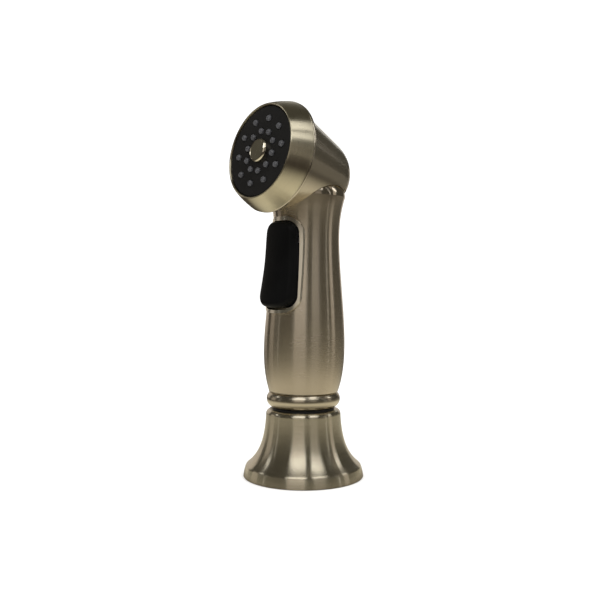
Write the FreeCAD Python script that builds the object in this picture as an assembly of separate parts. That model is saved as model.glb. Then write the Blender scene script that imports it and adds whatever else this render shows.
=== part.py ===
"""Kitchen side sprayer standing in its deck holder: a bell-shaped holder, and a pull-out hand spray with a
front trigger, a lever valve, a swivel hose connector with a check valve, and a drum-shaped spray head.

Frame: millimetres, +Z up along the holder's axis, the sprayer faces -Y. The origin is the centre of the
holder's threaded hole where it meets the deck.
"""

import FreeCAD, Part

import math
import os

V = FreeCAD.Vector
X_AXIS, Y_AXIS, Z_AXIS = V(1, 0, 0), V(0, 1, 0), V(0, 0, 1)

# Holder, standing on the deck
BASE_R = 26.8            # foot radius
BASE_TOP = 30.0          # height of the metal bell
SHANK_HOLE_R = 13.19     # M28 x 1.5 internal thread, minor radius
SHANK_HOLE_LENGTH = 10.0
GUIDE_SLEEVE_R = 12.9
GUIDE_LIP_R = 13.9
GUIDE_TOP = 31.0

# Hand grip
COLLAR_BOTTOM, COLLAR_TOP = 31.15, 38.0
COLLAR_R = 16.35
GRIP_BOTTOM, GRIP_RIM = 38.1, 124.3
LEAN_DEG = 1.6           # the grip leans back by this, about the collar's top
BELLY_R, WAIST_R, RIM_R = 18.0, 14.6, 16.8

# Spray head: its own axis is the spray axis, through FACE and tipped up by FACE_TILT_DEG
FACE = V(0, -24.4, 142.4)
FACE_TILT_DEG = 11.2
FACE_R = 19.9
DRUM_FRONT_R, DRUM_BACK_R, DRUM_DEPTH = 21.0, 24.6, 8.8
HOOD_FRONT_R, HOOD_BALL_R, HOOD_BALL_DEPTH = 22.5, 16.5, 31.2
HOOD_FRONT_DEPTH = 10.4
HOOD_DROOP = 0.053       # the hood falls below the spray axis by this share of its depth
HOOD_WALL = 1.7
NOZZLE_RINGS = ((14.3, 10, 12.0), (8.8, 10, 30.0))   # ring radius, count, first angle from the top
NOZZLE_R, NOZZLE_HOLE_R, NOZZLE_PROUD = 1.45, 1.6, 1.0

# Trigger, hinged near its top inside the grip, and the frame round it
FRAME_PROUD = 0.65
PIVOT = V(0, -9.3, 108.0)     # in the leaning grip's frame
PIN_R = 1.0
TRIGGER_Z = (75.0, 112.6)
TRIGGER_HALF_W = (10.4, 8.5)  # bottom, top
SWING_ROOM = 0.95             # below the trigger, which drops a little as it swings in
PAD_CROWN_Y = 8.0             # the pad's front is turned about this vertical axis
LEVER_Y, LEVER_THICK = -13.4, 1.2
TIP_GAP = 0.05                # between the lever's boss and the valve stem

# Valve, across the grip behind the trigger
VALVE_Z = 86.0
STEM_R, STEM_TIP = 1.7, -12.0
SEAT_Y = 0.5
BARREL_Y = (-9.2, 11.8)
BARREL_R = 7.0
BODY_R, BODY_Y, BODY_Z = 9.0, 1.0, (58.0, 104.0)
OUTLET_Y, OUTLET_TOP = 1.0, 112.0
TUBE_R, TUBE_BORE_R = 5.5, 3.6
ELBOW_DEPTH = 28.7       # where the spray axis meets the grip's outlet tube

# Hose connector
HOSE_THREAD_R = 6.96     # M15 x 1 internal thread, minor radius
HOSE_MOUTH_Z = 10.4
CONNECTOR_R = 8.9
RUNNING_GAP = 0.05


# ---------------------------------------------------------------- helpers
def outline(start, *moves):
    """A closed wire in the XZ plane. A move is (x, z), or ((x, z), (x, z)) for an arc's middle and end.

    A list of points is a smooth curve through them.
    """
    edges = []
    here = V(start[0], 0, start[1])
    for move in moves + (start,):
        smooth = isinstance(move, list)
        arc = not smooth and isinstance(move[0], tuple)
        end = move[-1] if smooth or arc else move
        there = V(end[0], 0, end[1])
        if (there - here).Length < 1e-6:
            continue
        if smooth:
            edges.append(solid_spline([(here.x, here.z)] + move))
        elif arc:
            edges.append(Part.Arc(here, V(move[0][0], 0, move[0][1]), there).toShape())
        else:
            edges.append(Part.LineSegment(here, there).toShape())
        here = there
    return Part.Wire(edges)


def turned(start, *moves):
    """A solid of revolution about Z from a half outline in (radius, height)."""
    return Part.Face(outline(start, *moves)).revolve(V(), Z_AXIS, 360)


def cylinder(radius, z0, z1, x=0, y=0):
    return Part.makeCylinder(radius, z1 - z0, V(x, y, z0), Z_AXIS)


def tube(outer, inner, z0, z1, x=0, y=0):
    return cylinder(outer, z0, z1, x, y).cut(cylinder(inner, z0 - 1, z1 + 1, x, y))


def rod_y(radius, y0, y1, z=VALVE_Z, x=0):
    """A cylinder along Y."""
    return Part.makeCylinder(radius, y1 - y0, V(x, y0, z), Y_AXIS)


def sleeve_y(outer, inner, y0, y1, z=VALVE_Z):
    return rod_y(outer, y0, y1, z).cut(rod_y(inner, y0 - 1, y1 + 1, z))


def rod_x(radius, half_length, y, z):
    return Part.makeCylinder(radius, 2 * half_length, V(-half_length, y, z), X_AXIS)


def fused(first, *others):
    return first.fuse(list(others)).removeSplitter()


def leaned(shape):
    """Leans an upright shape back, as the grip leans on the collar."""
    copy = shape.copy()
    copy.rotate(V(0, 0, GRIP_BOTTOM), X_AXIS, -LEAN_DEG)
    return copy


def on_face(shape):
    """Moves a shape made about +Z, with the spray face at z = 0, to the spray head."""
    copy = shape.copy()
    copy.rotate(V(), X_AXIS, 90 - FACE_TILT_DEG)
    copy.translate(FACE)
    return copy


def head_point(depth):
    """The point on the spray axis this far behind the face."""
    tilt = math.radians(FACE_TILT_DEG)
    return FACE + V(0, math.cos(tilt), -math.sin(tilt)) * depth


def spring(radius, wire_r, length, turns):
    """A coil spring along +Z from z = 0, of eight-sided wire, with its centre line at this radius."""
    helix = Part.makeHelix(length / turns, length, radius)
    corners = [math.radians(22.5 + 45 * i) for i in range(9)]
    section = Part.makePolygon([V(radius + wire_r * math.cos(a), 0, wire_r * math.sin(a)) for a in corners])
    return helix.makePipeShell([section], True, True)


def solid_spline(points):
    spline = Part.BSplineCurve()
    spline.interpolate([V(x, 0, z) for x, z in points])
    return spline.toShape()


# ---------------------------------------------------------------- holder
def base_flange():
    """The bell: a foot band, a hollow flare and a rounded top edge, cast as a shell."""
    return turned(
        (24.5, 0), (BASE_R - 0.3, 0), (BASE_R, 0.3), ((26.5, 2.1), (25.95, 4.2)),
        ((25.7, 4.9), (25.2, 5.5)),
        [(22.2, 8.5), (20.35, 11.3), (18.65, 15.3), (17.4, 20.6), (16.85, 25.0), (16.66, 27.9)],
        ((16.1, 29.35), (14.7, BASE_TOP)), (GUIDE_SLEEVE_R + 0.1, BASE_TOP),
        (GUIDE_SLEEVE_R + 0.1, 27.6), (14.6, 27.2), ((17.2, 14.2), (22.3, 6.4)), (24.5, 3.6),
    )


def base_guide():
    """The black liner that the spray plugs into. Its hub is threaded for the mounting shank."""
    return turned(
        (SHANK_HOLE_R, 0), (18.0, 0), (18.0, 1.1), (24.2, 1.1), (24.2, 2.6), (16.4, 2.6), (16.4, 12.0),
        (GUIDE_SLEEVE_R, 13.6), (GUIDE_SLEEVE_R, BASE_TOP + 0.05), (GUIDE_LIP_R, BASE_TOP + 0.05),
        (GUIDE_LIP_R, GUIDE_TOP - 0.2), (GUIDE_LIP_R - 0.2, GUIDE_TOP), (12.3, GUIDE_TOP),
        (11.95, GUIDE_TOP - 0.5),
        (11.05, 14.0), (11.05, SHANK_HOLE_LENGTH), (SHANK_HOLE_R, SHANK_HOLE_LENGTH),
    )


def base_gasket():
    return tube(24.2, 18.2, 0, 1.05)


# ---------------------------------------------------------------- hose connector
def from_mouth(shape):
    """Moves a piece made with the hose's mouth at z = 0 up to the connector's place."""
    copy = shape.copy()
    copy.translate(V(0, 0, HOSE_MOUTH_Z))
    return copy


def hose_connector():
    """Brass swivel: the hose screws in from below, the nose turns in the spray's stem."""
    body = turned(
        (HOSE_THREAD_R, 0), (9.1, 0), (9.5, 0.4), (9.5, 7.6), (9.1, 8.0), (8.0, 8.0), (8.0, 12.5),
        (CONNECTOR_R, 12.5),
        (CONNECTOR_R, 19.1), (8.5, 19.5), (5.9, 19.5), (5.9, 21.4), (4.95, 21.4), (4.95, 22.6), (5.9, 22.6),
        (5.9, 24.5), (5.5, 24.9), (4.2, 24.9), (4.2, 19.1), (5.0, 19.1), (5.0, 9.9), (6.4, 9.9), (6.4, 8.5),
        (HOSE_THREAD_R, 8.5),
    )
    grooves = [Part.makeBox(0.8, 0.8, 9, V(9.3, -0.4, -0.5)) for _ in range(18)]
    for i, groove in enumerate(grooves):
        groove.rotate(V(), Z_AXIS, 20 * i)
    return from_mouth(body.cut(grooves))


def connector_o_ring():
    return from_mouth(Part.makeTorus(5.45, 0.48, V(0, 0, 22.0), Z_AXIS))


def connector_clip():
    """Split ring that keeps the connector in the stem."""
    gap = Part.makeBox(4, 3, 3, V(6.5, -1.5, 10.5))
    return from_mouth(tube(9.6, 8.1, 11.1, 12.0).cut(gap))


def inlet_screen():
    """Filter disc: a rim with a mesh of crossed wires."""
    rim = tube(6.35, 5.4, 8.55, 9.85)
    wires = []
    for i in range(-3, 4):
        at = 1.5 * i
        half = math.sqrt(5.6**2 - at**2)
        wires.append(Part.makeBox(2 * half, 0.35, 0.35, V(-half, at - 0.175, 8.9)))
        wires.append(Part.makeBox(0.35, 2 * half, 0.35, V(at - 0.175, -half, 9.1)))
    return from_mouth(fused(rim, *wires))


def check_valve_body():
    """Cartridge: a seat at the bottom and a three-armed guide at the top."""
    shell = turned((2.6, 9.95), (4.95, 9.95), (4.95, 18.9), (3.9, 18.9), (3.9, 11.5), (2.6, 11.5))
    arms = [Part.makeBox(2.6, 0.8, 1.2, V(1.6, -0.4, 17.6)) for _ in range(3)]
    for i, arm in enumerate(arms):
        arm.rotate(V(), Z_AXIS, 120 * i)
    return from_mouth(fused(shell, tube(2.1, 1.0 + RUNNING_GAP, 17.6, 18.8), *arms))


def check_poppet():
    return from_mouth(turned(
        (0, 11.55), (2.9, 11.55), (3.5, 12.1), (3.5, 12.8), (1.0, 13.1), (1.0, 18.5), (0, 18.5),
    ))


def check_spring():
    coil = spring(1.9, 0.3, 3.7, 4)
    coil.translate(V(0, 0, 13.5))
    return from_mouth(coil)


# ---------------------------------------------------------------- spray: foot
def stem_plug():
    """Black plug below the collar: it sits in the holder, and the connector turns inside it."""
    foot = turned(
        (9.0, 19.9), (10.6, 19.9), (10.9, 20.4), (11.6, 31.0), (11.6, COLLAR_TOP), (12.9, COLLAR_TOP),
        (12.9, 40.5),
        (8.6, 40.5), (8.6, 46.0), (4.2, 46.0), (4.2, 35.9), (6.0, 35.9), (6.0, 30.2),
        (9.0, 30.2), (9.0, 22.6), (9.7, 22.6), (9.7, 21.3), (9.0, 21.3),
    )
    socket = leaned(tube(8.6, 6.15, 44.0, 57.6))
    return fused(foot.cut(leaned(cylinder(6.15, 45.0, 50.0))), socket)


def handle_collar():
    """Polished bead below the grip, with a spigot up into it."""
    return turned(
        (11.65, COLLAR_BOTTOM), (13.9, COLLAR_BOTTOM), ((COLLAR_R, 34.5), (15.0, 37.7)),
        (14.4, COLLAR_TOP - 0.02),
        (13.7, COLLAR_TOP - 0.02), (13.7, 45.0), (13.0, 45.0), (13.0, COLLAR_TOP - 0.02),
        (11.65, COLLAR_TOP - 0.02),
    )


def stem_lock_ring():
    """Ring nut that holds the plug in the collar."""
    ring = tube(12.9, 9.0, 40.6, 43.2)
    slots = [Part.makeBox(3, 2, 3, V(11.2, -1, 42)) for _ in range(4)]
    for i, slot in enumerate(slots):
        slot.rotate(V(), Z_AXIS, 90 * i)
    return ring.cut(slots)


# ---------------------------------------------------------------- grip
def grip_turned(proud, z0=GRIP_BOTTOM, top=GRIP_RIM):
    """The grip's outer shape up to the rim, this much proud of the surface, as an upright solid."""
    points = [
        (15.4, GRIP_BOTTOM), (17.5, 47.8), (BELLY_R, 58.0), (16.75, 78.0), (14.98, 98.0), (WAIST_R, 106.5),
        (15.1, 116.3), (RIM_R, GRIP_RIM),
    ]
    wall = solid_spline([(r + proud, z) for r, z in points])
    ends = [
        Part.LineSegment(V(RIM_R + proud, 0, GRIP_RIM), V(0, 0, GRIP_RIM)).toShape(),
        Part.LineSegment(V(0, 0, GRIP_RIM), V(0, 0, GRIP_BOTTOM)).toShape(),
        Part.LineSegment(V(0, 0, GRIP_BOTTOM), V(15.4 + proud, 0, GRIP_BOTTOM)).toShape(),
    ]
    face = Part.Face(Part.Wire([wall] + ends))
    return face.revolve(V(), Z_AXIS, 360)


def grip_dome(proud):
    """The rounded shoulder above the rim and the neck that goes up into the hood."""
    return turned(
        (0, GRIP_RIM), (RIM_R + proud, GRIP_RIM),
        ((16.15 + proud, 127.4 + proud), (13.4 + proud, 130.6 + proud)),
        (12.2 + proud, 131.2 + proud), (12.2 + proud, 132.2 + proud), (0, 132.2 + proud),
    )


def panel(half_bottom, half_top, z0, z1, corner_bottom, corner_top, crown=1.5, y0=-30.0, y1=-2.0):
    """A tapered panel with rounded corners and a bowed bottom edge, drawn in XZ and extruded along Y."""
    left, right = V(-half_bottom, y0, z0 + crown), V(half_bottom, y0, z0 + crown)
    sides = Part.makePolygon([right, V(half_top, y0, z1), V(-half_top, y0, z1), left])
    bow = Part.Arc(left, V(0, y0, z0), right).toShape()
    block = Part.Face(Part.Wire([bow] + sides.Edges)).extrude(V(0, y1 - y0, 0))
    along = [e for e in block.Edges if abs(e.tangentAt(e.FirstParameter).y) > 0.99]
    bottom = [e for e in along if e.CenterOfMass.z < (z0 + z1) / 2]
    top = [e for e in along if e.CenterOfMass.z > (z0 + z1) / 2]
    return block.makeFillet(corner_bottom, bottom).makeFillet(corner_top, top)


def trigger_panel(margin):
    """The trigger's outline, grown by a margin all round."""
    return panel(
        TRIGGER_HALF_W[0] + margin, TRIGGER_HALF_W[1] + margin, TRIGGER_Z[0] - margin,
        TRIGGER_Z[1] + margin,
        5.2 + margin, 5.0 + margin,
    )


def window(gap=0.0):
    """The hole in the grip that the trigger's frame fills, less a fitting gap."""
    return panel(11.7 - gap, 10.2 - gap, 72.6 + gap, 114.8 - gap, 6.4 - gap, 6.9 - gap)


def opening():
    """The hole in the frame that the trigger swings in."""
    return panel(
        TRIGGER_HALF_W[0] + 0.4, TRIGGER_HALF_W[1] + 0.35, TRIGGER_Z[0] - SWING_ROOM,
        TRIGGER_Z[1] + 0.35, 5.7, 5.35,
    )


def handle_shell():
    """The hollow grip, in one piece with its rounded shoulder and neck."""
    outer = fused(grip_turned(0), grip_dome(0))
    hollow = turned(
        (0, GRIP_BOTTOM - 2), (14.0, GRIP_BOTTOM - 2), (14.0, 45.5), ((16.1, 58.0), (14.9, 78.0)),
        (13.1, 98.0),
        (12.9, 108.0), (13.3, 117.0), (14.6, 123.0), ((14.0, 126.5), (11.0, 128.8)), (9.6, 129.6),
        (9.6, 136.0),
        (0, 136.0),
    )
    foot = cylinder(15.4, GRIP_BOTTOM - 1, GRIP_BOTTOM)
    shell = leaned(fused(outer, foot).cut(hollow).cut(window()))
    return shell.cut(Part.makeBox(60, 60, 10, V(-30, -30, GRIP_BOTTOM - 10)))


def trigger_frame():
    """Polished insert round the trigger: a lip just proud of the grip, side walls and a floor."""
    rim = window(0.07).common(grip_turned(FRAME_PROUD)).cut(opening())
    rim = rim.cut(Part.makeBox(60, 30, 74.5, V(-30, -8.9, 30)))
    rim = rim.cut(Part.makeBox(60, 30, 20, V(-30, -7.6, 104)))
    floor = window(0.07).common(Part.makeBox(60, 0.9, 31.5, V(-30, -9.0, 72)))
    frame = fused(rim, floor)
    barrel_hole = rod_y(BARREL_R + 0.3, -20, 0)
    pin_hole = rod_x(PIN_R + 0.02, 12, PIVOT.y, PIVOT.z)
    return leaned(frame.cut(barrel_hole).cut(pin_hole))


def pad_front(proud):
    """The pad's crowned front surface as a solid turned about a vertical axis inside the grip."""
    points = [(-17.2, 113.5), (-17.9, 107.0), (-18.2, 98.0), (-19.1, 88.0), (-20.4, 79.0), (-21.1, 73.5)]
    curve = solid_spline([(PAD_CROWN_Y - y + proud, z) for y, z in points])
    z0, z1 = points[-1][1], points[0][1]
    r0, r1 = PAD_CROWN_Y - points[-1][0] + proud, PAD_CROWN_Y - points[0][0] + proud
    ends = [
        Part.LineSegment(V(r0, 0, z0), V(0, 0, z0)).toShape(),
        Part.LineSegment(V(0, 0, z0), V(0, 0, z1)).toShape(),
        Part.LineSegment(V(0, 0, z1), V(r1, 0, z1)).toShape(),
    ]
    solid = Part.Face(Part.Wire([curve] + ends)).revolve(V(), Z_AXIS, 360)
    solid.translate(V(0, PAD_CROWN_Y, 0))
    return solid


def trigger_pad():
    """Soft front of the trigger, with all its front edges well rounded."""
    pad = trigger_panel(0).common(pad_front(0))
    pad = pad.cut(Part.makeBox(60, 60, 120, V(-30, LEVER_Y, 30)))
    front = max(pad.Faces, key=lambda f: -f.CenterOfMass.y)
    pad = pad.makeFillet(2.4, front.Edges)
    return leaned(pad)


def trigger_lever():
    """Rigid lever under the pad: a plate, two hinge ears and a boss that pushes the valve stem."""
    back = LEVER_Y + 0.05
    plate = trigger_panel(-0.45).common(Part.makeBox(60, LEVER_THICK, 120, V(-30, back, 30)))
    reach = PIVOT.y - back
    ears = trigger_panel(-0.8).common(Part.makeBox(12.6, reach, 4.4, V(-6.3, back, PIVOT.z - 2.2)))
    barrel = rod_x(2.2, 6.3, PIVOT.y, PIVOT.z)
    boss = rod_y(2.6, back + 0.5, STEM_TIP - TIP_GAP, VALVE_Z + 0.4)
    lever = fused(plate, ears, barrel, boss)
    notch = Part.makeBox(6.0, 12.0, 12.0, V(-3.0, back + LEVER_THICK, PIVOT.z - 5))
    return leaned(lever.cut(notch).cut(rod_x(PIN_R + RUNNING_GAP, 12, PIVOT.y, PIVOT.z)))


def trigger_pin():
    return leaned(rod_x(PIN_R, 8.4, PIVOT.y, PIVOT.z))


# ---------------------------------------------------------------- valve
def valve_body():
    """Moulded body: water comes up the back, past the valve across the middle, and out at the top front."""
    inlet_y, outlet_y = 6.3, -3.7
    body = fused(
        cylinder(BODY_R, BODY_Z[0], BODY_Z[1], 0, BODY_Y), rod_y(BARREL_R, BARREL_Y[0], BARREL_Y[1]),
        cylinder(6.0, 50.0, BODY_Z[0] + 1), cylinder(7.4, BODY_Z[1] - 1, OUTLET_TOP, 0, OUTLET_Y),
    )
    bores = [
        rod_y(5.0, BARREL_Y[0] - 1, -7.6),            # gland
        rod_y(3.65, -7.7, -5.85),                     # stem seal
        rod_y(3.4, -5.9, SEAT_Y - 2.5),               # front chamber
        rod_y(2.9, SEAT_Y - 3.0, SEAT_Y + 0.1),       # seat
        rod_y(5.5, SEAT_Y, BARREL_Y[1] + 1),          # rear chamber
        cylinder(3.4, 49.0, 70.0),                    # inlet spigot
        rod_y(3.0, 0, inlet_y, 67.0),                 # cross passage
        cylinder(2.6, 64.0, VALVE_Z, 0, inlet_y),     # rise to the rear chamber
        cylinder(2.2, VALVE_Z, 102.4, 0, outlet_y),   # rise from the front chamber
        cylinder(TUBE_R + 0.1, 101.5, OUTLET_TOP + 1, 0, OUTLET_Y),
    ]
    groove = tube(6.5, 5.1, 53.0, 54.8)
    return leaned(body.cut(bores + [groove]))


def inlet_o_ring():
    return leaned(Part.makeTorus(5.62, 0.5, V(0, 0, 53.9), Z_AXIS))


def valve_stem():
    """Push rod with a domed tip, the valve disc and a tail that centres the spring."""
    half = outline(
        (0, STEM_TIP), ((1.25, STEM_TIP + 0.45), (STEM_R, STEM_TIP + 1.1)), (STEM_R, SEAT_Y + 1.2),
        (4.5, SEAT_Y + 1.2), (4.5, SEAT_Y + 2.4), (1.5, SEAT_Y + 2.4), (1.5, SEAT_Y + 5.2),
        (0, SEAT_Y + 5.2),
    )
    rod = Part.Face(half).revolve(V(), Z_AXIS, 360)
    rod.rotate(V(), X_AXIS, -90)
    rod.translate(V(0, 0, VALVE_Z))
    return leaned(rod)


def valve_washer():
    return leaned(sleeve_y(4.3, STEM_R, SEAT_Y + 0.02, SEAT_Y + 1.2))


def stem_seal():
    return leaned(Part.makeTorus(2.69, 0.91, V(0, -6.77, VALVE_Z), Y_AXIS))


def stem_gland():
    """Screw-in gland with a hex socket round the rod."""
    gland = sleeve_y(4.95, STEM_R + RUNNING_GAP, -9.1, -7.7)
    angles = [math.radians(60 * i) for i in range(7)]
    corners = [V(3.4 * math.cos(a), -10, VALVE_Z + 3.4 * math.sin(a)) for a in angles]
    hexagon = Part.Face(Part.makePolygon(corners)).extrude(V(0, 1.5, 0))
    return leaned(gland.cut(hexagon))


def valve_plug():
    """Threaded plug behind the spring, with a screwdriver slot."""
    plug = rod_y(5.45, 9.0, BARREL_Y[1])
    seat = rod_y(2.4, 8.6, 9.8)
    slot = Part.makeBox(12, 1.2, 1.6, V(-6, BARREL_Y[1] - 1.0, VALVE_Z - 0.8))
    return leaned(plug.cut(seat).cut(slot))


def valve_spring():
    start, end = SEAT_Y + 2.9, 8.5
    coil = spring(3.1, 0.45, end - start, 4)
    coil.rotate(V(), X_AXIS, -90)
    coil.translate(V(0, start, VALVE_Z))
    return leaned(coil)


# ---------------------------------------------------------------- spray head
def hood_half(offset):
    """Half outline of the hood: a cone from the drum, tangent to a ball at the back."""
    ball_r = HOOD_BALL_R - offset
    front_r, front = HOOD_FRONT_R - offset, HOOD_FRONT_DEPTH
    run = HOOD_BALL_DEPTH - front
    slant = math.atan2(front_r, run) - math.asin(ball_r / math.hypot(run, front_r))
    touch = (ball_r * math.cos(slant), -(HOOD_BALL_DEPTH + ball_r * math.sin(slant)))
    mid_angle = (slant + math.pi / 2) / 2
    mid = (ball_r * math.cos(mid_angle), -(HOOD_BALL_DEPTH + ball_r * math.sin(mid_angle)))
    return (front_r, -front), touch, mid, (0, -(HOOD_BALL_DEPTH + ball_r))


def drooped(shape):
    """A shape about the spray axis, slanted so that it falls away below the axis behind the hood's front."""
    k = HOOD_DROOP
    return shape.transformGeometry(FreeCAD.Matrix(1, 0, 0, 0, 0, 1, k, k * HOOD_FRONT_DEPTH, 0, 0, 1, 0))


def hood_core(offset):
    """The hood's outline moved in, as a solid with an open front."""
    front, touch, mid, end = hood_half(offset)
    return on_face(drooped(turned((0, -8.0), (front[0], -8.0), front, touch, (mid, end))))


def grip_room(gap):
    """The grip's upper part grown by a gap."""
    return leaned(fused(grip_turned(gap), grip_dome(gap)))


def head_hood():
    """Shell that joins the drum to the grip: a bead at the drum, and a step along its saddle-shaped edge."""
    front, touch, mid, end = hood_half(0)
    outer = on_face(drooped(turned(
        (0, -9.0), (24.3, -9.0), ((24.55, -9.6), (24.2, -10.2)), (23.85, -10.35), front, touch, (mid, end),
    )))
    step = outer.common(grip_room(0.75)).cut(hood_core(0.35))
    seat = on_face(cylinder(22.0, -9.85, -8.0))  # for the waterway's rim
    return outer.cut(hood_core(HOOD_WALL)).cut([seat, grip_room(0.12), step])


def head_drum():
    """Brushed ring round the face: it flares back from a narrow bright rim."""
    return on_face(turned(
        (20.15, 0.35), (20.4, 0.6), (20.75, 0.6), (DRUM_FRONT_R, 0.35),
        ((23.2, -4.4), (DRUM_BACK_R - 0.1, -DRUM_DEPTH + 0.5)),
        ((DRUM_BACK_R, -DRUM_DEPTH + 0.2), (24.3, -DRUM_DEPTH)),
        (21.9, -DRUM_DEPTH), (21.9, -4.6), (21.1, -3.4), (21.1, -2.1), (20.15, -2.1),
    ))


def nozzle_places():
    for ring_r, count, first in NOZZLE_RINGS:
        for i in range(count):
            angle = math.radians(first + i * 360 / count)
            yield ring_r * math.sin(angle), ring_r * math.cos(angle)


def spray_face():
    """Black face plate, with a hole for each nozzle and one for the screw."""
    plate = turned(
        (2.2, 0), (FACE_R - 0.4, 0), (FACE_R, -0.4), (FACE_R, -2.2), (20.95, -2.2), (20.95, -3.5),
        (2.2, -3.5),
    )
    return on_face(plate.cut([cylinder(NOZZLE_HOLE_R, -4, 1, x, y) for x, y in nozzle_places()]))


def nozzle_mat():
    """Silicone mat with one soft nozzle through each hole."""
    mat = cylinder(20.9, -4.9, -3.55).cut(cylinder(2.2, -6, 1))
    nubs = []
    for x, y in nozzle_places():
        nub = turned(
            (0.2, -4.0), (NOZZLE_R, -4.0), (NOZZLE_R - 0.1, NOZZLE_PROUD - 0.6),
            ((NOZZLE_R - 0.4, NOZZLE_PROUD - 0.15), (0.5, NOZZLE_PROUD + 0.1)), (0.2, NOZZLE_PROUD + 0.05),
        )
        nub.translate(V(x, y, 0))
        nubs.append(nub)
    holes = [cylinder(0.2, -6, 2, x, y) for x, y in nozzle_places()]
    return on_face(fused(mat, *nubs).cut(holes))


def diffuser_plate():
    """Plate that spreads the water to the nozzles."""
    plate = cylinder(20.9, -6.4, -4.95).cut(cylinder(2.2, -8, 1))
    return on_face(plate.cut([cylinder(1.0, -8, 0, x, y) for x, y in nozzle_places()]))


def head_waterway():
    """Moulded elbow: a chamber behind the diffuser, and a tube back and then down to the valve."""
    elbow = head_point(ELBOW_DEPTH)
    cup = turned(
        (0, -12.0), (7.0, -12.0), (20.9, -9.6), (20.9, -9.2), (20.1, -9.2), (20.1, -7.5), (20.9, -7.5),
        (20.9, -6.45),
        (18.6, -6.45), (18.6, -8.2), (3.4, -8.2), (3.4, -6.45), (0, -6.45),
    )
    back_tube = on_face(cylinder(6.0, -ELBOW_DEPTH, -11.0))
    down_tube = leaned(cylinder(TUBE_R, 102.0, elbow.z, 0, OUTLET_Y))
    solid = fused(on_face(cup), back_tube, Part.makeSphere(6.0, elbow), down_tube)
    ports = []
    for i in range(6):
        port = cylinder(1.3, -13.0, -8.0, 5.0, 0)
        port.rotate(V(), Z_AXIS, 60 * i)
        ports.append(on_face(port))
    bores = [
        on_face(cylinder(1.55, -11.0, -5.0)), on_face(tube(4.6, 3.2, -13.2, -12.2)),
        on_face(cylinder(4.2, -ELBOW_DEPTH, -12.8)), Part.makeSphere(4.2, elbow),
        leaned(cylinder(TUBE_BORE_R, 101.0, elbow.z, 0, OUTLET_Y)),
        leaned(tube(6.5, 4.7, 107.0, 108.7, 0, OUTLET_Y)),
    ]
    return solid.cut(ports + bores)


def outlet_o_ring():
    return leaned(Part.makeTorus(5.15, 0.42, V(0, OUTLET_Y, 107.85), Z_AXIS))


def head_o_ring():
    return on_face(Part.makeTorus(20.98, 0.82, V(0, 0, -8.35), Z_AXIS))


def face_screw():
    shank = cylinder(1.95, -6.45, 0.1)
    tip = cylinder(1.5, -10.6, -6.4)
    head = cylinder(3.5, 0.05, 1.25)
    slot = Part.makeBox(8, 0.9, 1, V(-4, -0.45, 0.75))
    return on_face(fused(shank, tip, head).cut(slot))


def face_button():
    """Bright cap pressed over the screw's head."""
    return on_face(turned(
        (4.1, 0.02), (5.2, 0.02), (5.2, 0.5), ((4.98, 1.4), (4.4, 1.95)), (4.2, 1.8), (0, 1.8),
        (0, 1.35), (4.1, 1.35),
    ))


# ---------------------------------------------------------------- the parts
NODES = {
    "base_flange": base_flange, "base_guide": base_guide, "base_gasket": base_gasket,
    "hose_connector": hose_connector, "connector_o_ring": connector_o_ring,
    "connector_clip": connector_clip,
    "inlet_screen": inlet_screen, "check_valve_body": check_valve_body, "check_poppet": check_poppet,
    "check_spring": check_spring,
    "stem_plug": stem_plug, "handle_collar": handle_collar, "stem_lock_ring": stem_lock_ring,
    "handle_shell": handle_shell, "trigger_frame": trigger_frame, "trigger_pin": trigger_pin,
    "trigger_lever": trigger_lever, "trigger_pad": trigger_pad,
    "valve_body": valve_body, "inlet_o_ring": inlet_o_ring, "valve_stem": valve_stem,
    "valve_washer": valve_washer,
    "stem_seal": stem_seal, "stem_gland": stem_gland, "valve_plug": valve_plug,
    "valve_spring": valve_spring,
    "head_hood": head_hood, "head_drum": head_drum, "spray_face": spray_face, "nozzle_mat": nozzle_mat,
    "diffuser_plate": diffuser_plate, "head_waterway": head_waterway, "outlet_o_ring": outlet_o_ring,
    "head_o_ring": head_o_ring, "face_screw": face_screw, "face_button": face_button,
}

os.makedirs("parts", exist_ok=True)
for name, make in NODES.items():
    shape = make()
    good = shape.isValid() and shape.Solids and all(s.Volume > 0 for s in shape.Solids)
    print(name, len(shape.Solids), "solids", round(shape.Volume, 1), "mm3", "" if good else "NOT VALID")
    shape.exportStep("parts/" + name + ".step")
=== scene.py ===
"""Looks of the kitchen hand sprayer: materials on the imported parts, studio, floor and camera."""

import math

import bpy
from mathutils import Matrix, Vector


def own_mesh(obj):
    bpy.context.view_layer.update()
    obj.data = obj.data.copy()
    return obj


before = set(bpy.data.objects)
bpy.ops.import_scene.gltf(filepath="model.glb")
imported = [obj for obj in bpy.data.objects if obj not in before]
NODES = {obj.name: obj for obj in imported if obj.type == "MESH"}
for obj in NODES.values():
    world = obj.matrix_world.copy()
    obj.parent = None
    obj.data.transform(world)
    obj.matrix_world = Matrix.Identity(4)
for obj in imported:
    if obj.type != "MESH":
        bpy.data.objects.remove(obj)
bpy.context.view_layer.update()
SCENE = bpy.context.scene

MM = 0.001
# The spray head's own frame: its face centre, and how far the face is tipped up
FACE_CENTRE = Vector((0, -24.4, 142.4)) * MM
FACE_TILT = math.radians(11.2)


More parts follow.
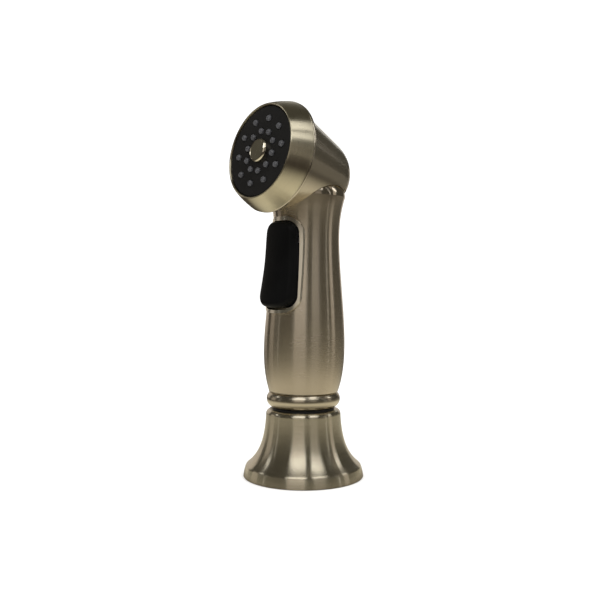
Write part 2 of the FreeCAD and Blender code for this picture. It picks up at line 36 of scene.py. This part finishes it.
# ---------------------------------------------------------------- node helpers
class Tree:
    """A material's node tree, with short calls for the nodes the materials share."""

    def __init__(self, name):
        self.material = bpy.data.materials.new(name)
        self.material.use_nodes = True
        self.tree = self.material.node_tree
        self.shader = self.tree.nodes["Principled BSDF"]

    def node(self, kind, inputs=None, **settings):
        made = self.tree.nodes.new(kind)
        for key, value in settings.items():
            setattr(made, key, value)
        for key, value in (inputs or {}).items():
            self.put(made.inputs[key], value)
        return made

    def put(self, socket, value):
        if isinstance(value, bpy.types.NodeSocket):
            self.tree.links.new(value, socket)
        else:
            socket.default_value = value

    def math(self, operation, a, b):
        return self.node("ShaderNodeMath", {0: a, 1: b}, operation=operation).outputs[0]

    def vector(self, operation, a, b=(0, 0, 0)):
        return self.node("ShaderNodeVectorMath", {0: a, 1: b}, operation=operation).outputs[0]

    def place(self):
        """A point's place in the object, in metres."""
        return self.node("ShaderNodeTexCoord").outputs["Object"]

    def length(self, vector):
        return self.node("ShaderNodeVectorMath", {0: vector}, operation="LENGTH").outputs["Value"]

    def part(self, vector, letter):
        """The X, Y or Z of a vector."""
        return self.node("ShaderNodeSeparateXYZ", {"Vector": vector}).outputs[letter]

    def noise(self, vector, scale, detail, roughness=0.5):
        inputs = {"Vector": vector, "Scale": scale, "Detail": detail, "Roughness": roughness}
        return self.node("ShaderNodeTexNoise", inputs).outputs["Fac"]

    def spread(self, value, low, high):
        """A noise's usual span, 0.25 to 0.75, stretched to low to high."""
        inputs = {"Value": value, "From Min": 0.25, "From Max": 0.75, "To Min": low, "To Max": high}
        return self.node("ShaderNodeMapRange", inputs).outputs[0]

    def ease(self, value, start, end):
        """0 below the start and 1 above the end, with a smooth step between."""
        inputs = {"Value": value, "From Min": start, "From Max": end}
        return self.node("ShaderNodeMapRange", inputs, interpolation_type="SMOOTHSTEP").outputs[0]

    def mix(self, fac, a, b):
        """Colour a where fac is 0, and colour b where it is 1."""
        made = self.node("ShaderNodeMix", data_type="RGBA")
        self.put(made.inputs["Factor"], fac)
        self.put(made.inputs[6], (*a, 1) if isinstance(a, tuple) else a)
        self.put(made.inputs[7], (*b, 1) if isinstance(b, tuple) else b)
        return made.outputs[2]

    def bump(self, height, distance, strength):
        inputs = {"Height": height, "Distance": distance, "Strength": strength}
        return self.node("ShaderNodeBump", inputs).outputs[0]

    def set(self, **values):
        """Sets the shader's sockets, named with _ for a space, and gives the material."""
        for key, value in values.items():
            self.put(self.shader.inputs[key.replace("_", " ")], value)
        return self.material


def darkened(tint, factor):
    return tuple(c * factor for c in tint)


def turned_frame(t, on_face):
    """(point, axis): a point in a frame whose +Z is the piece's axis, and that axis in the object's."""
    point = t.place()
    if not on_face:
        return point, (0, 0, 1)
    inputs = {"Location": FACE_CENTRE, "Rotation": (math.pi / 2 - FACE_TILT, 0, 0)}
    turned = t.node("ShaderNodeMapping", {"Vector": point, **inputs}, vector_type="TEXTURE").outputs[0]
    return turned, (0, -math.cos(FACE_TILT), math.sin(FACE_TILT))


# Grooves: their changes round the axis, and their changes per metre across them
FINE_GROOVES, COARSE_GROOVES, LATHE_GROOVES = (5.0, 9000.0), (2.5, 1500.0), (3.0, 4000.0)


def grooves(t, point, along, across):
    """Noise that changes slowly round the axis and fast along it, and so looks brushed."""
    flat = t.vector("MULTIPLY", point, (1, 1, 0))
    round_about = t.vector("NORMALIZE", flat)
    height, radius = t.part(point, "Z"), t.length(flat)
    level = t.math("ADD", t.math("MULTIPLY", height, across), t.math("MULTIPLY", radius, across))
    up = t.node("ShaderNodeCombineXYZ", {"Z": level}).outputs[0]
    coords = t.vector("ADD", t.vector("MULTIPLY", round_about, (along, along, 0)), up)
    return t.noise(coords, 1.0, 3.0, 0.6)


def round_tangent(t, axis, on_face):
    """The direction round the axis, in world space."""
    start = tuple(FACE_CENTRE) if on_face else (0, 0, 0)
    from_axis = t.vector("SUBTRACT", t.place(), start)
    cross = t.vector("CROSS_PRODUCT", axis, from_axis)
    turn = t.node("ShaderNodeVectorTransform", {"Vector": cross}, vector_type="VECTOR",
                  convert_from="OBJECT", convert_to="WORLD").outputs[0]
    return t.vector("NORMALIZE", turn)


# ---------------------------------------------------------------- materials
# The fine grooves' share of the brushed lines. The coarse grooves give the rest
FINE_SHARE = 0.6
GROOVE_DEPTH = 0.0025 * MM
# What a full brush does: shares of the colour and the roughness that vary, and the bump's strength
BRUSH_SHADE, BRUSH_ROUGH, BRUSH_BUMP = 0.16, 0.18, 0.6
BLOTCH_TINT = (0.97, 0.93, 0.86)
# Where satin turns to polish: the band's height in metres, and the share of the roughness that goes
POLISH_BAND, POLISH_SHARE = 0.007, 0.5
# Stretches the highlights across the grooves
QUARTER_TURN = 0.25


def nickel(name, tint, rough, brush, anisotropic, on_face=False, smooth_above=None):
    """Nickel plate, brushed round the piece's axis: fine and coarse grooves, and faint blotches.

    Above the height smooth_above it is polished.
    """
    t = Tree(name)
    point, axis = turned_frame(t, on_face)
    fine = grooves(t, point, *FINE_GROOVES)
    coarse = grooves(t, point, *COARSE_GROOVES)
    cloud = t.noise(t.place(), 45.0, 3.0)
    lines = t.math("ADD", t.math("MULTIPLY", fine, FINE_SHARE), t.math("MULTIPLY", coarse, 1 - FINE_SHARE))
    darker = darkened(tint, 1 - BRUSH_SHADE * brush)
    colour = t.mix(t.spread(coarse, 0.0, 1.0), darker, tint)
    blotched = tuple(c * f for c, f in zip(tint, BLOTCH_TINT))
    colour = t.mix(t.spread(cloud, 0.0, 0.35), colour, blotched)
    brushed = t.spread(lines, rough * (1 - BRUSH_ROUGH * brush), rough * (1 + BRUSH_ROUGH * brush))
    roughness = t.math("ADD", brushed, t.spread(cloud, -0.015, 0.02))
    if smooth_above is not None:
        polish = t.ease(t.part(t.place(), "Z"), smooth_above, smooth_above + POLISH_BAND)
        kept = t.math("SUBTRACT", 1.0, t.math("MULTIPLY", polish, POLISH_SHARE))
        roughness = t.math("MULTIPLY", roughness, kept)
    return t.set(Base_Color=colour, Metallic=1.0, Roughness=roughness, Anisotropic=anisotropic,
                 Anisotropic_Rotation=QUARTER_TURN, Normal=t.bump(lines, GROOVE_DEPTH, BRUSH_BUMP * brush),
                 Tangent=round_tangent(t, axis, on_face))


def metal(name, tint, rough):
    """Plain machined metal with faint lathe lines."""
    t = Tree(name)
    lines = grooves(t, t.place(), *LATHE_GROOVES)
    cloud = t.noise(t.place(), 120.0, 4.0)
    colour = t.mix(t.spread(cloud, 0.0, 0.5), tint, darkened(tint, 0.8))
    return t.set(Base_Color=colour, Metallic=1.0, Roughness=t.spread(lines, rough * 0.8, rough * 1.25),
                 Normal=t.bump(lines, 0.01 * MM, 0.5))


def moulded(name, tint, rough, grain_mm=0.35, depth_mm=0.01, specular=0.5):
    """Moulded plastic or rubber: a fine even grain, and slight changes in colour and gloss."""
    t = Tree(name)
    grain = t.noise(t.place(), 1 / (grain_mm * MM), 3.0, 0.55)
    cloud = t.noise(t.place(), 60.0, 4.0)
    paler = tuple(min(1.0, c * 1.35 + 0.002) for c in tint)
    colour = t.mix(t.spread(cloud, 0.0, 1.0), tint, paler)
    roughness = t.math("ADD", t.spread(grain, rough * 0.9, rough * 1.1), t.spread(cloud, -0.03, 0.03))
    return t.set(Base_Color=colour, Roughness=roughness, Specular_IOR_Level=specular,
                 Normal=t.bump(grain, depth_mm * MM, 0.7))


def silicone(name, tint):
    """Grey silicone that lets a little light in."""
    t = Tree(name)
    grain = t.noise(t.place(), 4000.0, 2.0)
    cloud = t.noise(t.place(), 300.0, 3.0)
    colour = t.mix(t.spread(cloud, 0.0, 1.0), tint, darkened(tint, 0.8))
    return t.set(Base_Color=colour, Roughness=t.spread(grain, 0.30, 0.42),
                 Subsurface_Weight=0.25, Subsurface_Scale=0.8 * MM, Subsurface_Radius=(1.0, 1.0, 1.0),
                 Normal=t.bump(grain, 0.004 * MM, 0.5))


MATERIALS = {
    "brushed": nickel("brushed_nickel", (0.62, 0.57, 0.46), 0.23, brush=0.6, anisotropic=1.0),
    "brushed_face": nickel("brushed_nickel_head", (0.66, 0.61, 0.47), 0.29, brush=0.6, anisotropic=1.0,
                           on_face=True),
    "satin": nickel("satin_nickel", (0.58, 0.515, 0.42), 0.26, brush=0.35, anisotropic=1.0,
                    smooth_above=0.1185),
    "satin_face": nickel("satin_nickel_head", (0.58, 0.53, 0.44), 0.22, brush=0.2, anisotropic=0.7,
                         on_face=True),
    "polished": nickel("polished_nickel", (0.53, 0.48, 0.385), 0.24, brush=0.15, anisotropic=0.4),
    # The trigger frame's rim: nickel with a paler tint than the grip's, a painted highlight
    "frame_painted_highlight": nickel("frame_nickel_painted_highlight", (0.84, 0.80, 0.70), 0.24, brush=0.1, anisotropic=0.2),
    "polished_face": nickel("polished_nickel_cap", (0.80, 0.75, 0.62), 0.12, brush=0.2, anisotropic=0.2,
                            on_face=True),
    "brass": metal("turned_brass", (0.72, 0.50, 0.24), 0.25),
    "steel": metal("stainless_steel", (0.60, 0.59, 0.57), 0.25),
    "black": moulded("black_plastic", (0.004, 0.004, 0.0045), 0.42, specular=0.25),
    "soft": moulded("soft_touch_rubber", (0.0015, 0.0015, 0.0015), 0.42, grain_mm=0.22, depth_mm=0.012,
                    specular=0.06),
    "face": moulded("face_plastic", (0.0045, 0.0042, 0.004), 0.36, grain_mm=0.3, depth_mm=0.006,
                    specular=0.17),
    "white": moulded("natural_acetal", (0.74, 0.73, 0.70), 0.4),
    "seal": moulded("seal_rubber", (0.014, 0.014, 0.014), 0.5),
    "nub": silicone("smoke_silicone", (0.06, 0.06, 0.065)),
}
FINISH = {
    "base_flange": "brushed", "head_drum": "brushed_face",
    "handle_shell": "satin", "head_hood": "satin_face",
    # The trigger frame gets the paler nickel, which is a painted highlight
    "handle_collar": "polished", "trigger_frame": "frame_painted_highlight", "face_button": "polished_face",
    "trigger_pad": "soft", "trigger_lever": "black", "base_guide": "black", "stem_plug": "black",
    "spray_face": "face", "nozzle_mat": "nub",
    "base_gasket": "seal", "connector_o_ring": "seal", "inlet_o_ring": "seal", "valve_washer": "seal",
    "stem_seal": "seal", "outlet_o_ring": "seal", "head_o_ring": "seal",
    "hose_connector": "brass", "stem_lock_ring": "brass", "stem_gland": "brass", "valve_plug": "brass",
    "connector_clip": "steel", "inlet_screen": "steel", "check_spring": "steel", "trigger_pin": "steel",
    "valve_stem": "steel", "valve_spring": "steel", "face_screw": "steel",
    "check_valve_body": "white", "check_poppet": "white", "valve_body": "white", "diffuser_plate": "white",
    "head_waterway": "white",
}

for node, obj in NODES.items():
    obj.data.materials.clear()
    obj.data.materials.append(MATERIALS[FINISH[node]])


# ---------------------------------------------------------------- springs
def squash_spring(node, axis):
    """Gives the spring a mesh of its own.

    held_end is not used.
    """
    axis = Vector(axis).normalized()
    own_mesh(NODES[node])


# The valve lies square to the grip, which leans back a little
STEM_AXIS = (0, 1, -0.028)
squash_spring("valve_spring", STEM_AXIS)
squash_spring("check_spring", (0, 0, 1))


# ---------------------------------------------------------------- studio
CAMERA_AZIMUTH = 49.07
CAMERA_DISTANCE, CAMERA_HEIGHT = 0.3652, 0.0914
CAMERA_PITCH, CAMERA_YAW = -1.67, 0.58
LENS_MM, SENSOR_MM = 50.0, 36.0
# The height that the lights' angles are seen from
LIGHT_CENTRE = 0.08


def at_azimuth(degrees, distance, height):
    """A point round the object: 0 is in front of it, and 90 on its +X side."""
    a = math.radians(degrees)
    return Vector((distance * math.sin(a), -distance * math.cos(a), height))


def add_camera():
    data = bpy.data.cameras.new("camera")
    data.lens = LENS_MM
    data.sensor_width = SENSOR_MM
    data.clip_start = 0.01
    camera = bpy.data.objects.new("camera", data)
    camera.location = at_azimuth(CAMERA_AZIMUTH, CAMERA_DISTANCE, CAMERA_HEIGHT)
    turn = math.radians(CAMERA_AZIMUTH + CAMERA_YAW)
    camera.rotation_euler = (math.pi / 2 + math.radians(CAMERA_PITCH), 0, turn)
    SCENE.collection.objects.link(camera)
    SCENE.camera = camera


def softbox(name, azimuth, distance, low_angle, high_angle, width, radiance, colour):
    """An upright rectangular light that faces the object. The azimuth is from the camera's side."""
    low, high = (LIGHT_CENTRE + distance * math.tan(math.radians(a)) for a in (low_angle, high_angle))
    data = bpy.data.lights.new(name, "AREA")
    data.shape = "RECTANGLE"
    data.size, data.size_y = width, high - low
    data.energy = radiance * math.pi * width * (high - low)
    data.color = colour
    light = bpy.data.objects.new(name, data)
    light.visible_camera = False
    light.location = at_azimuth(CAMERA_AZIMUTH + azimuth, distance, (low + high) / 2)
    light.rotation_euler = (-light.location * Vector((1, 1, 0))).to_track_quat("-Z", "Y").to_euler()
    SCENE.collection.objects.link(light)


WHITE, WARM = (1, 0.99, 0.97), (1, 0.90, 0.80)
# Each light: name, azimuth from the camera, distance, lowest and highest angle, width, radiance, colour
SOFTBOXES = (
    ("box_left_low", -16, 1.1, 34, 48, 0.96, 2.1, WHITE),
    ("box_left_high", -16, 1.1, 48, 70, 0.98, 1.6, WHITE),
    ("box_right_low", 38, 1.1, 35, 47, 0.64, 1.65, WHITE),
    ("box_right_high", 48, 1.1, 51, 69, 0.84, 2.1, WHITE),
    ("fill_left", -14, 1.2, 4, 32, 0.72, 0.48, WARM),
    ("fill_right", 32, 1.2, 4, 26, 0.46, 0.22, WARM),
    ("high_left", -103, 3.0, 28, 38, 0.45, 2.3, WHITE),
    ("high_right", 101, 0.8, 22, 38, 0.12, 2.4, WHITE),
    ("tube_left", -80, 1.1, -3, 28, 0.03, 0.8, WHITE),
    ("tube_right", 73, 1.1, -3, 45, 0.03, 1.2, WHITE),
    ("strip_right", 92, 1.2, -3, 45, 0.20, 0.40, WARM),
    ("strip_left", -108, 1.2, -3, 19, 0.40, 0.40, WARM),
    ("back_left", -154, 1.3, -8, 24, 0.95, 0.55, WARM),
    ("back_right", 165, 1.3, -8, 12, 0.75, 0.50, WARM),
    ("back_high", 170, 1.3, 15, 42, 0.62, 0.75, WHITE),
)
BACKGROUND, BACKGROUND_STRENGTH = (1, 1, 1, 1), 1.25
ROOM = (0.075, 0.07, 0.057, 1)


def add_world():
    """White to the camera and to matt surfaces, and a dim warm room in reflections."""
    world = bpy.data.worlds.new("studio")
    world.use_nodes = True
    tree = world.node_tree
    white = tree.nodes["Background"]
    white.inputs["Strength"].default_value = BACKGROUND_STRENGTH
    white.inputs["Color"].default_value = BACKGROUND
    room = tree.nodes.new("ShaderNodeBackground")
    room.inputs["Color"].default_value = ROOM
    path = tree.nodes.new("ShaderNodeLightPath")
    mix = tree.nodes.new("ShaderNodeMixShader")
    tree.links.new(path.outputs["Is Glossy Ray"], mix.inputs[0])
    tree.links.new(white.outputs[0], mix.inputs[1])
    tree.links.new(room.outputs[0], mix.inputs[2])
    tree.links.new(mix.outputs[0], tree.nodes["World Output"].inputs["Surface"])
    SCENE.world = world


FLOOR_HALF = 20.0
FLOOR_LOW, FLOOR_HIGH = (0.88, 0.875, 0.865), (0.90, 0.895, 0.885)
# Painted reflection, the floor's colours in reflections only: a painted shadow at the foot, a painted warm
# bounce of light near it, painted dark further off, and lighter again behind the object
FOOT_PAINTED_SHADOW, NEAR_PAINTED_BOUNCE = (0.22, 0.20, 0.16), (0.60, 0.56, 0.44)
FAR_PAINTED_DARK, BEHIND = (0.035, 0.029, 0.024), (0.13, 0.12, 0.10)
# Where one turns into the next: metres from the middle, and for BEHIND metres along +Y
BOUNCE_STARTS, FAR_DARK_STARTS, BEHIND_STARTS = (0.027, 0.065), (0.05, 0.34), (0.25, 0.45)


def add_floor():
    """A pale floor. Its colour in reflections is painted: a painted shadow at the foot, a painted warm
    bounce near the object, and painted darkening away from it.
    """
    h = FLOOR_HALF
    mesh = bpy.data.meshes.new("floor")
    mesh.from_pydata([(-h, -h, 0), (h, -h, 0), (h, h, 0), (-h, h, 0)], [], [(0, 1, 2, 3)])
    floor = bpy.data.objects.new("floor", mesh)
    SCENE.collection.objects.link(floor)
    t = Tree("floor")
    grain = t.noise(t.place(), 900.0, 2.0)
    away = t.length(t.place())
    behind = t.ease(t.part(t.place(), "Y"), *BEHIND_STARTS)
    painted_far = t.mix(behind, FAR_PAINTED_DARK, BEHIND)
    # Painted shadow at the foot, then a painted warm bounce of light near the object
    painted_shadow_and_bounce = t.mix(t.ease(away, *BOUNCE_STARTS), FOOT_PAINTED_SHADOW, NEAR_PAINTED_BOUNCE)
    # The painted reflection: the floor's colour in glossy rays, darker away from the object
    painted_reflection = t.mix(t.ease(away, *FAR_DARK_STARTS), painted_shadow_and_bounce, painted_far)
    seen = t.mix(grain, FLOOR_LOW, FLOOR_HIGH)
    glossy = t.node("ShaderNodeLightPath").outputs["Is Glossy Ray"]
    t.set(Base_Color=t.mix(glossy, seen, painted_reflection), Roughness=0.6, Specular_IOR_Level=0.0)
    mesh.materials.append(t.material)


add_world()
add_floor()
add_camera()
for light in SOFTBOXES:
    softbox(*light)

SCENE.view_settings.view_transform = "Standard"
